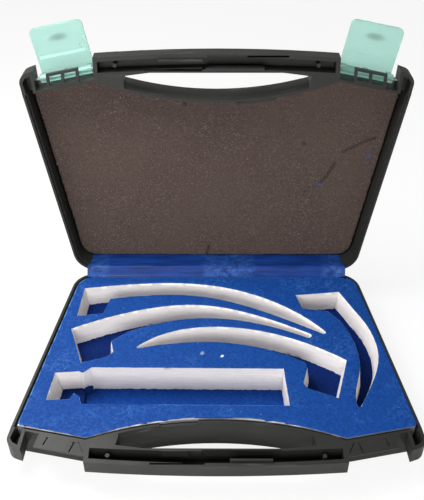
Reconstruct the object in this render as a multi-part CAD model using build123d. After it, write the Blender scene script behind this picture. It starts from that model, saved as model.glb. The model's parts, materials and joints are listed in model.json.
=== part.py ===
from build123d import *
import math
import os

# Laryngoscope case: two plastic half shells with a carrying grip, hinged at the back, with two latches in
# front, a foam insert with cut-outs in the base and a foam pad in the lid. Millimetres.
# Frame: origin at the middle of the base's underside, +X right, +Y towards the hinge, +Z up.
# Plan points are (x, v), where v is the distance forward of the hinge line. Heights called w are measured
# from the rim plane, where the two halves meet.

# Half shells
hinge_y = 80.0                    # hinge line, behind the origin
shell_height = 25.0               # underside to rim plane
wall = 2.4
floor_thickness = 2.0
back_v = 2.0                      # outer face of the back wall
back_half_width = 98.9            # half width at the hinge line
side_slope = 0.181                # growth of the half width per millimetre forward
back_corner_r = 15.0
bottom_edge_r = 5.0
rim_width = 1.5                   # the wall's lip; behind it the wall steps down
rim_step = 3.0
recess_outer = (123.5, 135.8)     # front wall of the latch recess, where it meets the side
cusp = (77.3, 145.3)              # where the recess wall meets the grip
arc_v = 131.2                     # front wall behind the finger opening, at the middle

# Grip and horns, which are shallower than the trays
grip_height = 12.2
grip_wall = 2.0
grip_end = (77.0, 159.2)
grip_mid_v = 162.0
grip_edge_r = 3.0
channel_x = 74.4                  # half length of the channel in the grip
channel_back_end_v = 149.4
channel_back_mid_v = 151.6
channel_front_end_v = 156.6
channel_front_mid_v = 159.6
opening_lip_v = 149.6             # finger opening, grip side
opening_lip_x = 42.0
opening_end = (59.5, 147.3)
opening_corner = (58.3, 141.5)
horn_side_v = 133.0
horn_front = (125.0, 147.0)
horn_tip = (115.2, 150.6)
horn_root = (114.3, 137.0)
horn_corner_r = 7.0
horn_pocket = [(119.9, 131.0), (122.4, 142.6), (120.7, 145.5), (117.2, 147.5), (116.4, 139.6),
               (116.2, 131.0)]
arc_notch = [(-34.0, 134.4), (-11.0, 132.2), (-11.0, 128.0), (-34.0, 130.2)]
arc_notch_depth = 1.5
arc_tab = [(13.0, 129.6), (38.0, 132.6), (38.0, 131.2), (13.0, 128.2)]
arc_tab_height = 4.0

# Locating tongues and posts in the grip channel
tongue_thickness = 1.1
tongue_rise = 1.8
tongue_root = 4.0
tongue_gap = 0.2
tongue_bite = 0.8                 # the root reaches this far into its own wall
base_tongue_back = (-32.0, -16.0)
base_tongue_front = (8.0, 33.0)
lid_tongue_back = (-7.0, 30.0)
lid_tongue_front = (-36.0, -9.0)
notch_depth = 1.1                 # notches in the channel walls take the other half's tongues
notch_drop = 4.0
base_notch_back = (-8.5, 38.5)
base_notch_front = (-38.5, -6.5)
lid_notch_back = (-45.0, -9.0)
lid_notch_front = (-6.0, 45.0)
post_x = 63.5
post_v = 154.2
post_r = 1.3
post_drop = 0.4                   # the posts end this far inside the rim plane

# Latch recess: a slotted ledge on the base and a bracket with two windows on the lid
ledge_outer_x = (105.4, 107.8)    # at the recess wall, at the front
ledge_depth = 9.9
ledge_thickness = 2.0
ledge_chamfer = 1.0
bracket_outer_x = 107.0
bracket_inner_x = 86.4
bracket_depth = 9.3
bracket_thickness = 2.5
bracket_bar = 1.7
keyhole_r = 0.9
keyhole_slot = 0.9
keyholes = [((100.3, 142.7), (102.2, 147.4)), ((84.0, 146.0), (86.2, 152.3))]
ledge_groove = ((81.5, 145.2), (78.0, 152.8))
ledge_groove_width = 0.6
ledge_groove_depth = 0.8

# Latches, drawn closed
latch_pin_r = 1.2
latch_pin_w = 8.0                 # pin height above the rim plane
latch_pin_offset = 4.5            # pin in front of the recess wall
latch_pin_length = 41.0
latch_width = 34.0
latch_bore_r = 1.25
latch_barrel_r = 2.8
latch_plate_inner = 6.3           # from the pin to the inner face of the plate
latch_plate_thickness = 2.2
latch_up = 4.0
latch_down = 30.0
latch_corner_r = 3.0
latch_arm_width = 4.0
latch_arm_height = 3.4
latch_hook_reach = 4.0            # from the pin to the tip of the hook
latch_hook_top = 10.3
latch_hook_height = 2.2
latch_hook_margin = 2.0           # the hook stops this far inside each end
latch_thumb_drop = 22.0
latch_thumb_size = (15.0, 6.0)
latch_thumb_depth = 0.7
latch_lip = 0.8
latch_lip_height = 1.6
latch_mid_x = 95.2

# Hinge
knuckle_r = 2.9
notch_r = 3.4
hinge_pin_r = 1.25
hinge_bore_r = 1.3
hinge_mid_x = 50.0
hinge_length = 40.0
lid_knuckle_length = 15.4
knuckle_gap = 0.3
knuckle_web = 6.0
stop_x = (18.0, 28.0)
stop_depth = 7.0
stop_gap = 0.05
stop_drop = 12.0                  # how far the gusset runs down the back wall
stop_heel = 2.5
stop_bridge = 1.2
overlap = 0.5                     # how deep a fused piece starts inside its neighbour

# Travel: the drawing pose is closed, the part is stored open
lid_open_deg = 100.0
latch_open_deg = 90.0

# Foam insert, its linings and the hinge flap
insert_gap = 0.9
lining = 0.6
floor_lining = 0.4
pocket_depth = 15.5
handle_head_depth = 18.0
lid_foam_inset = 3.4
lid_foam_thickness = 8.0
flap_half_width = 84.0
flap_thickness = 0.5
flap_wall_gap = 0.15              # between the strip and the lid's back wall
flap_base_gap = 0.1
flap_lift = 0.02                  # the strip's foot stands this far over the lining
flap_start_w = -0.3               # on the lid's wall, measured from its rim
flap_bend_w = -0.6

# Blade pockets (x, v): back edge, then front edge
blade_one_outer = [(55.5, 22.8), (86.2, 19.5), (97.5, 42.4), (104.2, 60.0), (105.5, 79.0), (101.4, 94.0),
                   (89.8, 117.8)]
blade_one_tip = (88.3, 119.4)
blade_one_inner = [(86.8, 117.8), (88.2, 104.0), (91.6, 92.0), (92.6, 76.0), (87.0, 53.5), (76.6, 38.7),
                   (59.3, 35.8)]
blade_two_back = [(-52.6, 71.0), (-28.3, 56.8), (0.0, 52.8), (41.1, 59.8), (84.6, 81.9)]
blade_two_front = [(57.2, 84.0), (35.9, 73.9), (0.0, 66.8), (-27.9, 67.9), (-51.6, 72.6)]
blade_two_heel = [(75.9, 112.6), (57.2, 105.1), (55.1, 100.7), (58.6, 88.6)]
blade_three_back = [(-97.5, 54.7), (-47.8, 36.2), (-10.0, 32.6), (25.0, 41.2), (62.2, 58.6)]
blade_three_tip = (63.4, 61.5)
blade_three_front = [(60.4, 62.6), (23.4, 49.0), (-8.0, 45.2), (-37.9, 49.8), (-58.5, 57.4)]
blade_three_heel = [(-69.5, 66.0), (-67.3, 75.5), (-71.5, 79.8), (-87.4, 84.6)]
blade_four_back = [(-93.0, 16.3), (-46.0, 11.2), (0.0, 14.0), (41.7, 30.2), (72.7, 56.4)]
blade_four_tip = (73.0, 58.8)
blade_four_front = [(70.6, 58.9), (23.5, 35.0), (-8.0, 25.0), (-47.6, 23.6), (-73.8, 27.0)]
blade_four_heel = [(-77.4, 40.5), (-95.1, 43.6)]
handle_body = [(-80.1, 88.1), (43.3, 89.0), (45.4, 118.4), (-83.5, 117.4), (-85.0, 112.2), (-85.6, 93.1)]
handle_head = [(-84.6, 93.1), (-87.6, 91.4), (-102.9, 92.6), (-105.6, 114.4), (-91.4, 114.0), (-88.7, 109.2),
               (-84.6, 112.2)]

recess_slope = (cusp[1] - recess_outer[1]) / (recess_outer[0] - cusp[0])
recess_angle = math.degrees(math.atan(recess_slope))
hinge_line = Axis((0, hinge_y, shell_height), (1, 0, 0))


def plan(x, v, z=0.0):
    return (x, hinge_y - v, z)


def half_width(v):
    return back_half_width + side_slope * v


def recess_v(x):
    return cusp[1] + recess_slope * (cusp[0] - x)


def ring(points, z=0.0):
    return make_face(Polyline(*[plan(x, v, z) for x, v in points], close=True))


def prism(face, bottom, top):
    return extrude(Pos(0, 0, bottom) * face, amount=top - bottom, dir=(0, 0, 1))


def block(x, y, z):
    """A box between two values on each axis."""
    return Pos(sum(x) / 2, sum(y) / 2, sum(z) / 2) * Box(x[1] - x[0], y[1] - y[0], z[1] - z[0])


def rod(radius, x_middle, length):
    """A cylinder on the hinge line."""
    return Pos(x_middle, hinge_y, shell_height) * Rot(0, 90, 0) * Cylinder(radius, length)


def both_sides(shape):
    return [shape, mirror(shape, about=Plane.YZ)]


def tray_face():
    """Outline of a tray without its grip and horns."""
    width_back, (x_side, v_side), (x_cusp, v_cusp) = half_width(back_v), recess_outer, cusp
    outline = make_face([
        Line(plan(-width_back, back_v), plan(width_back, back_v)),
        Line(plan(width_back, back_v), plan(x_side, v_side)),
        Line(plan(x_side, v_side), plan(x_cusp, v_cusp)),
        ThreePointArc(plan(x_cusp, v_cusp), plan(0, arc_v), plan(-x_cusp, v_cusp)),
        Line(plan(-x_cusp, v_cusp), plan(-x_side, v_side)),
        Line(plan(-x_side, v_side), plan(-width_back, back_v)),
    ])
    return fillet(outline.vertices().sort_by(Axis.Y)[-2:], back_corner_r)


def grip_face():
    (x_cusp, v_cusp), (x_end, v_end) = cusp, grip_end
    return make_face([
        Line(plan(x_cusp, v_cusp), plan(x_end, v_end)),
        ThreePointArc(plan(x_end, v_end), plan(0, grip_mid_v), plan(-x_end, v_end)),
        Line(plan(-x_end, v_end), plan(-x_cusp, v_cusp)),
        Polyline(plan(-x_cusp, v_cusp), plan(-opening_lip_x, arc_v - wall / 2),
                 plan(opening_lip_x, arc_v - wall / 2), plan(x_cusp, v_cusp)),
    ])


def opening_face():
    """Finger opening between the grip and the front wall."""
    right = [(opening_lip_x, opening_lip_v), opening_end, opening_corner, (opening_corner[0], arc_v - wall)]
    left = [(-x, v) for x, v in reversed(right)]
    return ring(right + left)


def channel_face():
    return make_face([
        ThreePointArc(plan(-channel_x, channel_back_end_v), plan(0, channel_back_mid_v),
                      plan(channel_x, channel_back_end_v)),
        Line(plan(channel_x, channel_back_end_v), plan(channel_x, channel_front_end_v)),
        ThreePointArc(plan(channel_x, channel_front_end_v), plan(0, channel_front_mid_v),
                      plan(-channel_x, channel_front_end_v)),
        Line(plan(-channel_x, channel_front_end_v), plan(-channel_x, channel_back_end_v)),
    ])


def horn_face():
    outline = ring([(half_width(horn_side_v), horn_side_v), horn_front, horn_tip, horn_root])
    corner = outline.vertices().sort_by(Axis.X)[-1]
    return fillet(corner, horn_corner_r)


def half_shell():
    """One half, rim up at the rim plane: tray, grip with its channel, and two hollow horns."""
    tray = prism(tray_face(), 0, shell_height)
    tray = fillet(tray.faces().sort_by(Axis.Z)[0].edges(), bottom_edge_r)
    low = shell_height - grip_height
    grip = prism(grip_face(), low, shell_height) - prism(opening_face(), 0, shell_height)
    grip_front = grip.faces().sort_by(Axis.Z)[0].edges().sort_by(Axis.Y)[0]
    grip = fillet(grip_front, grip_edge_r)
    horn = prism(horn_face(), low, shell_height)
    shell = tray + grip
    for side in both_sides(horn):
        shell += side
    shell -= prism(offset(tray_face(), -wall, kind=Kind.INTERSECTION), floor_thickness, shell_height)
    inside_lip = offset(tray_face(), -rim_width, kind=Kind.INTERSECTION)
    shell -= prism(inside_lip, shell_height - rim_step, shell_height)
    shell -= prism(channel_face(), low + grip_wall, shell_height)
    for pocket in both_sides(prism(ring(horn_pocket), low + grip_wall, shell_height)):
        shell -= pocket
    for post in both_sides(Pos(*plan(post_x, post_v, low + grip_wall)) * Cylinder(
            post_r, grip_height - grip_wall - post_drop, align=(Align.CENTER, Align.CENTER, Align.MIN))):
        shell += post
    return shell


def channel_wall_v(x, front):
    """Channel wall as a parabola, which is within 0.01 mm of its arc."""
    middle, end = channel_back_mid_v, channel_back_end_v
    if front:
        middle, end = channel_front_mid_v, channel_front_end_v
    return middle + (end - middle) * (x / channel_x) ** 2


def tongue(x_range, front):
    """Straight tab inside the channel's front or back wall, clear of the wall's bulge over its length."""
    side = -1 if front else 1
    ends = list(x_range) + ([0.0] if x_range[0] < 0 < x_range[1] else [])
    v_wall = side * max(side * channel_wall_v(x, front) for x in ends)
    near, far = v_wall + side * tongue_gap, v_wall + side * (tongue_gap + tongue_thickness)
    low = shell_height - tongue_root
    high = block(x_range, sorted((hinge_y - near, hinge_y - far)), (low, shell_height + tongue_rise))
    root = block(x_range, sorted((hinge_y - v_wall + side * tongue_bite, hinge_y - far)),
                 (low, shell_height - tongue_gap))
    return high + root


def tongue_notch(x_range, front):
    """Shallow notch at the top of the channel's front or back wall."""
    side = -1 if front else 1
    v_wall = channel_wall_v(0, front)
    depth = sorted((hinge_y - v_wall + side * notch_depth, hinge_y - v_wall - side * tongue_gap))
    return block(x_range, depth, (shell_height - notch_drop, shell_height))


def turned_over(shape):
    """The lid is the half shell turned over the rim plane."""
    return mirror(shape, about=Plane((0, 0, shell_height), z_dir=(0, 0, 1)))


def knuckle_ranges(own_lid):
    middle = (hinge_mid_x - lid_knuckle_length / 2, hinge_mid_x + lid_knuckle_length / 2)
    if own_lid:
        return [middle]
    return [(hinge_mid_x - hinge_length / 2, middle[0] - knuckle_gap),
            (middle[1] + knuckle_gap, hinge_mid_x + hinge_length / 2)]


def knuckle(x_range, upward):
    length = x_range[1] - x_range[0]
    web_end = shell_height + (knuckle_web if upward else -knuckle_web)
    web = block(x_range, (hinge_y - back_v - overlap, hinge_y), sorted((shell_height, web_end)))
    return rod(knuckle_r, sum(x_range) / 2, length) + web


def add_hinge_half(shell, own_lid):
    """Knuckles on one shell, and notches in its back wall for the other shell's knuckles."""
    for x_range in knuckle_ranges(not own_lid):
        notch = rod(notch_r, sum(x_range) / 2, x_range[1] - x_range[0] + 2 * knuckle_gap)
        for side in both_sides(notch):
            shell -= side
    bore = hinge_bore_r if own_lid else hinge_pin_r
    for x_range in knuckle_ranges(own_lid):
        for side in both_sides(knuckle(x_range, own_lid)):
            shell += side
    for side in both_sides(rod(bore, hinge_mid_x, hinge_length)):
        shell -= side
    return shell


def lid_back_line(distance, height):
    """Point of the opened lid as (y, z): distance from the hinge line, height behind its rim."""
    turn = math.radians(lid_open_deg)
    forward = distance * math.cos(turn) - height * math.sin(turn)
    up = distance * math.sin(turn) + height * math.cos(turn)
    return hinge_y - forward, shell_height + up


def open_stop(x_range):
    """Gusset on the base's back wall that the opened lid's back wall rests on."""
    touch_near = lid_back_line(back_v - stop_gap, 0)
    touch_far = lid_back_line(back_v - stop_gap, stop_depth)
    inside_y = hinge_y - back_v - overlap
    profile = [(inside_y, shell_height - stop_drop), (inside_y, shell_height),
               (hinge_y - back_v, shell_height), (hinge_y - stop_bridge, shell_height + stop_bridge),
               touch_near, touch_far, (touch_far[0], shell_height - stop_heel)]
    face = make_face(Polyline(*[(x_range[0], y, z) for y, z in profile], close=True))
    return extrude(face, amount=x_range[1] - x_range[0], dir=(1, 0, 0))


def groove(start, end, width, bottom):
    """Straight cut between two plan points, open at the top."""
    (x, v), (x_end, v_end) = start, end
    length = math.hypot(x_end - x, v_end - v)
    across = (width / 2 * (v_end - v) / length, width / 2 * (x - x_end) / length)
    corners = [(x + across[0], v + across[1]), (x_end + across[0], v_end + across[1]),
               (x_end - across[0], v_end - across[1]), (x - across[0], v - across[1])]
    return prism(ring(corners), bottom, shell_height + 1)


def ledge():
    """Ledge in the base's right latch recess, with keyhole slots and a chamfered lower front edge."""
    inner_x = grip_end[0]
    root_x, front_x = ledge_outer_x
    outline = [(root_x, recess_v(root_x) - 1), (front_x, recess_v(front_x) + ledge_depth),
               (inner_x, recess_v(inner_x) + ledge_depth), (inner_x, recess_v(inner_x) - 1)]
    low = shell_height - ledge_thickness
    plate = prism(ring(outline), low, shell_height)
    front = plate.faces().sort_by(Axis.Z)[0].edges().filter_by(
        lambda edge: abs(edge.length * math.cos(math.radians(recess_angle)) - (front_x - inner_x)) < 0.01)
    plate = chamfer(front.sort_by(Axis.Y)[0], ledge_chamfer)
    for head, tail in keyholes:
        plate -= Pos(*plan(*head, low)) * Cylinder(keyhole_r, 3 * ledge_thickness)
        plate -= groove(head, tail, keyhole_slot, low - 1)
    return plate - groove(*ledge_groove, ledge_groove_width, shell_height - ledge_groove_depth)


def bracket():
    """Bracket with two windows in the lid's right latch recess."""
    def corner(x, depth):
        return (x, recess_v(x) + depth)
    plate = prism(ring([corner(bracket_outer_x, -1), corner(bracket_outer_x, bracket_depth),
                        corner(bracket_inner_x, bracket_depth), corner(bracket_inner_x, -1)]),
                  shell_height, shell_height + bracket_thickness)
    middle = (bracket_outer_x + bracket_inner_x) / 2
    for low, high in ((bracket_inner_x + bracket_bar, middle - bracket_bar / 2),
                      (middle + bracket_bar / 2, bracket_outer_x - bracket_bar)):
        plate -= prism(ring([corner(high, bracket_bar), corner(high, bracket_depth - bracket_bar),
                             corner(low, bracket_depth - bracket_bar), corner(low, bracket_bar)]),
                       shell_height - 1, shell_height + bracket_thickness + 1)
    return plate


def latch_place(side):
    """Place of a latch's own frame, closed: X along the pin, -Y forward; side is +1 right, -1 left."""
    reach = latch_pin_offset / math.cos(math.radians(recess_angle))
    x, y, z = plan(side * latch_mid_x, recess_v(latch_mid_x) + reach, shell_height + latch_pin_w)
    return Pos(x, y, z) * Rot(0, 0, side * recess_angle)


def latch_pin(radius, length):
    return Rot(0, 90, 0) * Cylinder(radius, length)


def latch():
    """A closed latch: barrel on the pin, three arms, and a plate with a hook and a thumb recess."""
    half = latch_width / 2
    front = -(latch_plate_inner + latch_plate_thickness)
    plate = block((-half, half), (front, -latch_plate_inner), (-latch_down, latch_up))
    plate = fillet(plate.edges().filter_by(Axis.Y), latch_corner_r)
    piece = plate + latch_pin(latch_barrel_r, latch_width)
    for x in (-half + latch_arm_width / 2, 0, half - latch_arm_width / 2):
        piece += block((x - latch_arm_width / 2, x + latch_arm_width / 2), (-latch_plate_inner - overlap, 0),
                       (-latch_arm_height / 2, latch_arm_height / 2))
    hook_start, root_y = -half + latch_hook_margin, -latch_plate_inner - overlap
    hook = Polyline((hook_start, root_y, -latch_hook_top),
                    (hook_start, -latch_hook_reach, -latch_hook_top),
                    (hook_start, -latch_hook_reach, -latch_hook_top - latch_hook_height / 3),
                    (hook_start, root_y, -latch_hook_top - latch_hook_height), close=True)
    piece += extrude(make_face(hook), amount=latch_width - 2 * latch_hook_margin, dir=(1, 0, 0))
    piece += block((-half + latch_corner_r, half - latch_corner_r), (front - latch_lip, front),
                   (-latch_down, -latch_down + latch_lip_height))
    thumb = Pos(0, front + latch_thumb_depth, -latch_thumb_drop) * Rot(90, 0, 0) * Ellipse(
        latch_thumb_size[0] / 2, latch_thumb_size[1] / 2)
    piece -= extrude(thumb, amount=3, dir=(0, -1, 0))
    return piece - latch_pin(latch_bore_r, latch_width + 2)


def pocket_face(back, tip, front, heel):
    """Closed outline from a smooth back edge, a round tip, a smooth front edge and the heel's corners."""
    edges = [Spline(*[plan(x, v) for x, v in back]), Spline(*[plan(x, v) for x, v in front])]
    edges.append(ThreePointArc(edges[0] @ 1, plan(*tip), edges[1] @ 0))
    corners = [plan(*front[-1])] + [plan(x, v) for x, v in heel] + [plan(*back[0])]
    edges.append(Polyline(*corners))
    return make_face(edges)


def blade_faces():
    one = make_face([
        Polyline(plan(*blade_one_outer[0]), plan(*blade_one_outer[1]), plan(*blade_one_outer[2])),
        Spline(*[plan(x, v) for x, v in blade_one_outer[2:]]),
        ThreePointArc(plan(*blade_one_outer[-1]), plan(*blade_one_tip), plan(*blade_one_inner[0])),
        Spline(*[plan(x, v) for x, v in blade_one_inner[:-1]]),
        Polyline(plan(*blade_one_inner[-2]), plan(*blade_one_inner[-1]), plan(*blade_one_outer[0])),
    ])
    two = make_face([
        Spline(*[plan(x, v) for x, v in blade_two_back]),
        Polyline(*[plan(x, v) for x, v in (blade_two_back[-1], *blade_two_heel, blade_two_front[0])]),
        Spline(*[plan(x, v) for x, v in blade_two_front]),
        Line(plan(*blade_two_front[-1]), plan(*blade_two_back[0])),
    ])
    three = pocket_face(blade_three_back, blade_three_tip, blade_three_front, blade_three_heel)
    four = pocket_face(blade_four_back, blade_four_tip, blade_four_front, blade_four_heel)
    return [one, two, three, four]


def insert_face():
    return offset(tray_face(), -wall - insert_gap, kind=Kind.INTERSECTION)


def insert_parts():
    """Foam layers and the blue sheets on and between them."""
    top = shell_height
    upper_low = top - pocket_depth
    sheet_low = upper_low - floor_lining
    blades = [prism(face, 0, top + 1) for face in blade_faces()]
    body, head = prism(ring(handle_body), 0, top + 1), prism(ring(handle_head), 0, top + 1)
    upper = prism(insert_face(), upper_low, top - lining)
    cover = prism(insert_face(), top - lining, top)
    for pocket in blades + [body, head]:
        upper -= pocket
        cover -= pocket
    middle = prism(insert_face(), sheet_low, upper_low) - body - head
    head_low = top - handle_head_depth
    lower = prism(insert_face(), floor_thickness, sheet_low) - body
    lower -= prism(ring(handle_head), head_low - floor_lining, top)
    body_sheet = prism(ring(handle_body), floor_thickness, floor_thickness + floor_lining)
    head_sheet = prism(ring(handle_head), head_low - floor_lining, head_low) - body
    return {"foam_upper_layer": upper, "foam_lower_layer": lower,
            "top_lining": cover, "blade_floor_lining": middle,
            "handle_floor_lining": body_sheet, "handle_head_lining": head_sheet}


def hinge_flap():
    """Blue strip from the base's lining over the hinge and down the opened lid's back wall."""
    lid_inside = back_v + wall
    lid_depth = shell_height - floor_thickness - lid_foam_thickness
    near = lid_inside + flap_wall_gap
    far = near + flap_thickness
    foot_y, foot_z = hinge_y - lid_inside - flap_base_gap, shell_height + flap_lift
    lower = [(foot_y, foot_z), lid_back_line(near, flap_start_w), lid_back_line(near, lid_depth)]
    upper = [lid_back_line(far, lid_depth), lid_back_line(far, flap_bend_w),
             (foot_y - flap_thickness, foot_z)]
    profile = make_face(Polyline(*[(-flap_half_width, y, z) for y, z in lower + upper], close=True))
    return extrude(profile, amount=2 * flap_half_width, dir=(1, 0, 0))


def base_shell():
    shell = half_shell() - tongue_notch(base_notch_back, False) - tongue_notch(base_notch_front, True)
    shell -= prism(ring(arc_notch), shell_height - arc_notch_depth, shell_height)
    shell = add_hinge_half(shell, False)
    for side in both_sides(ledge()) + both_sides(open_stop(stop_x)):
        shell += side
    shell += tongue(base_tongue_back, False)
    shell += tongue(base_tongue_front, True)
    return shell


def lid_shell():
    shell = half_shell() - tongue_notch(lid_notch_back, False) - tongue_notch(lid_notch_front, True)
    shell += prism(ring(arc_tab), shell_height - arc_tab_height, shell_height - tongue_gap)
    shell = turned_over(shell)
    for side in (-1, 1):
        shell -= latch_place(side) * latch_pin(latch_pin_r, latch_pin_length)
    shell = add_hinge_half(shell, True)
    for side in both_sides(bracket()):
        shell += side
    shell += turned_over(tongue(lid_tongue_front, True))
    shell += turned_over(tongue(lid_tongue_back, False))
    return shell


def lid_foam():
    low = 2 * shell_height - floor_thickness - lid_foam_thickness
    return prism(offset(tray_face(), -lid_foam_inset, kind=Kind.INTERSECTION), low, low + lid_foam_thickness)


def main():
    parts = {"base_shell": base_shell(), "lid_shell": lid_shell(), "lid_foam": lid_foam()}
    parts.update(insert_parts())
    for name, side in (("left", -1), ("right", 1)):
        place = latch_place(side)
        swing = Rot(-latch_open_deg, 0, 0)
        parts[f"latch_{name}"] = place * swing * latch()
        parts[f"latch_pin_{name}"] = place * latch_pin(latch_pin_r, latch_pin_length)
        parts[f"hinge_pin_{name}"] = rod(hinge_pin_r, side * hinge_mid_x, hinge_length)
    for name in ("lid_shell", "lid_foam", "latch_left", "latch_right", "latch_pin_left", "latch_pin_right"):
        parts[name] = parts[name].rotate(hinge_line, -lid_open_deg)
    parts["hinge_flap"] = hinge_flap()
    os.makedirs("parts", exist_ok=True)
    for name, solid in parts.items():
        export_step(solid, f"parts/{name}.step")
        print(name, round(solid.volume, 1))


main()
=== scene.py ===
import bmesh
import bpy
import json
import math
from mathutils import Matrix, Vector, noise


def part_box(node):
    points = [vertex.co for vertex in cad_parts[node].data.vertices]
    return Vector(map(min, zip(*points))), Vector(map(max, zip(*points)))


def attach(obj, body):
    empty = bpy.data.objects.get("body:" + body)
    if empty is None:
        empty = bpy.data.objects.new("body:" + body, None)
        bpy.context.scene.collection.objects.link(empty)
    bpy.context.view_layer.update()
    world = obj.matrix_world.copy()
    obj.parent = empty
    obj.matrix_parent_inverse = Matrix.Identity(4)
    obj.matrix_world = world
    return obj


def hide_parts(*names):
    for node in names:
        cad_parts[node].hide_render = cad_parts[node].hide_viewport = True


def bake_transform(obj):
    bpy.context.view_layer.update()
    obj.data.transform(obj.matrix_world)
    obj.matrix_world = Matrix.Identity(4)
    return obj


# Laryngoscope case, lying open with its lid back on the stops and both latches flipped up.
# Plan sizes are written in millimetres and multiplied by mm.

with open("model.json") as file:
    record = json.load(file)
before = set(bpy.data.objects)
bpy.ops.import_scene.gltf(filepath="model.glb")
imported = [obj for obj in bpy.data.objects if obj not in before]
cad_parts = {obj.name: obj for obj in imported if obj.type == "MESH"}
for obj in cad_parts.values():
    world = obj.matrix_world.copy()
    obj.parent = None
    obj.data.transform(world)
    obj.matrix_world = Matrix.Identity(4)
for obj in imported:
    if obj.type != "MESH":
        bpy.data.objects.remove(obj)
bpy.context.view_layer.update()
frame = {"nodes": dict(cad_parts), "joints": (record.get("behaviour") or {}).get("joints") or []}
scene = bpy.context.scene
scene.view_settings.view_transform = "Standard"
mm = 0.001

joints = {joint["name"]: joint for joint in frame["joints"]}
hingePoint = Vector(joints["lid_hinge"]["pos_m"])
openAngle = math.radians(joints["lid_hinge"]["range_deg"][1])
lidTurn = (Matrix.Translation(hingePoint) @ Matrix.Rotation(-openAngle, 4, "X")
           @ Matrix.Translation(-hingePoint))  # from the shut lid to the open one


# Mesh tools

meshRules = {"weldGap": 0.01 * mm, "flatAngle": 0.5, "cutGap": 0.002 * mm, "wallTilt": 0.5,
             "leastSide": 0.1, "faceUp": 0.9, "sharpAngle": 35}  # angles in degrees


def weldedCopy(node, turn=None):
    bm = bmesh.new()
    bm.from_mesh(frame["nodes"][node].data)
    if turn:
        bm.transform(turn)
    bmesh.ops.remove_doubles(bm, verts=bm.verts, dist=meshRules["weldGap"])
    flat = math.radians(meshRules["flatAngle"])
    bmesh.ops.dissolve_limit(bm, angle_limit=flat, verts=bm.verts, edges=bm.edges)
    return bm


def sliceAcross(bm, direction, spacing):
    normal = Vector(direction)
    places = [vert.co.dot(normal) for vert in bm.verts]
    low, high = min(places), max(places)
    count = max(1, round((high - low) / spacing))
    for index in range(1, count):
        geometry = bm.verts[:] + bm.edges[:] + bm.faces[:]
        bmesh.ops.bisect_plane(bm, geom=geometry, dist=meshRules["cutGap"], plane_no=normal,
                               plane_co=normal * (low + (high - low) * index / count))


def sideDirection(vert):
    total = Vector((0, 0, 0))
    for face in vert.link_faces:
        if abs(face.normal.z) < meshRules["wallTilt"]:
            total += Vector((face.normal.x, face.normal.y, 0))
    return total.normalized() if total.length > meshRules["leastSide"] else None


def topArea(bm):
    return sum(face.calc_area() for face in bm.faces if face.normal.z > meshRules["faceUp"])


def applyMoves(moves):
    for vert, move in moves.items():
        vert.co += move


def makePiece(bm, name, material, sharp=meshRules["sharpAngle"]):
    mesh = bpy.data.meshes.new(name)
    bm.to_mesh(mesh)
    bm.free()
    mesh.materials.append(material)
    mesh.shade_smooth()
    mesh.set_sharp_from_angle(angle=math.radians(sharp))
    piece = bpy.data.objects.new(name, mesh)
    scene.collection.objects.link(piece)
    return piece


# Shader tools

def buildGroup(name, inputs, outputs):
    group = bpy.data.node_groups.new(name, "ShaderNodeTree")
    for label, kind, value in inputs:
        group.interface.new_socket(name=label, in_out="INPUT", socket_type=kind).default_value = value
    for label, kind in outputs:
        group.interface.new_socket(name=label, in_out="OUTPUT", socket_type=kind)
    return group, group.nodes.new("NodeGroupInput"), group.nodes.new("NodeGroupOutput")


def addNode(tree, kind, values=None, **settings):
    node = tree.nodes.new(kind)
    for setting, value in settings.items():
        setattr(node, setting, value)
    for label, value in (values or {}).items():
        node.inputs[label].default_value = value
    return node


def mathNode(tree, operation, first, second=0.0):
    node = tree.nodes.new("ShaderNodeMath")
    node.operation = operation
    for index, value in enumerate((first, second)):
        if isinstance(value, (int, float)):
            node.inputs[index].default_value = value
        else:
            tree.links.new(value, node.inputs[index])
    return node.outputs[0]


def mixNode(tree, factor, first, second):
    node = tree.nodes.new("ShaderNodeMix")
    node.data_type = "RGBA"
    node.clamp_factor = True
    for label, value in ((0, factor), (6, first), (7, second)):
        if isinstance(value, bpy.types.NodeSocket):
            tree.links.new(value, node.inputs[label])
        else:
            node.inputs[label].default_value = value
    return node.outputs[2]


def rampNode(tree, value, low, high, toLow=0.0, toHigh=1.0):
    node = addNode(tree, "ShaderNodeMapRange", {1: low, 2: high, 3: toLow, 4: toHigh})
    tree.links.new(value, node.inputs[0])
    return node.outputs[0]


def noiseNode(tree, coords, scale, detail=2.0, stretch=None):
    if stretch:
        mapping = addNode(tree, "ShaderNodeMapping", {"Scale": stretch})
        tree.links.new(coords, mapping.inputs[0])
        coords = mapping.outputs[0]
    node = addNode(tree, "ShaderNodeTexNoise", {"Detail": detail})
    tree.links.new(coords, node.inputs["Vector"])
    if isinstance(scale, bpy.types.NodeSocket):
        tree.links.new(scale, node.inputs["Scale"])
    else:
        node.inputs["Scale"].default_value = scale
    return node.outputs[0]


def bumpNode(tree, height, strength, distance=0.3 * mm):
    node = addNode(tree, "ShaderNodeBump", {"Strength": strength, "Distance": distance})
    tree.links.new(height, node.inputs["Height"])
    return node.outputs[0]


def newMaterial(name):
    material = bpy.data.materials.new(name)
    material.use_nodes = True
    tree = material.node_tree
    return material, tree, tree.nodes["Principled BSDF"]


def placeGroup(tree, group, values):
    node = addNode(tree, "ShaderNodeGroup", node_tree=group)
    for label, value in values.items():
        node.inputs[label].default_value = value
    return node


# Shared effects

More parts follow.
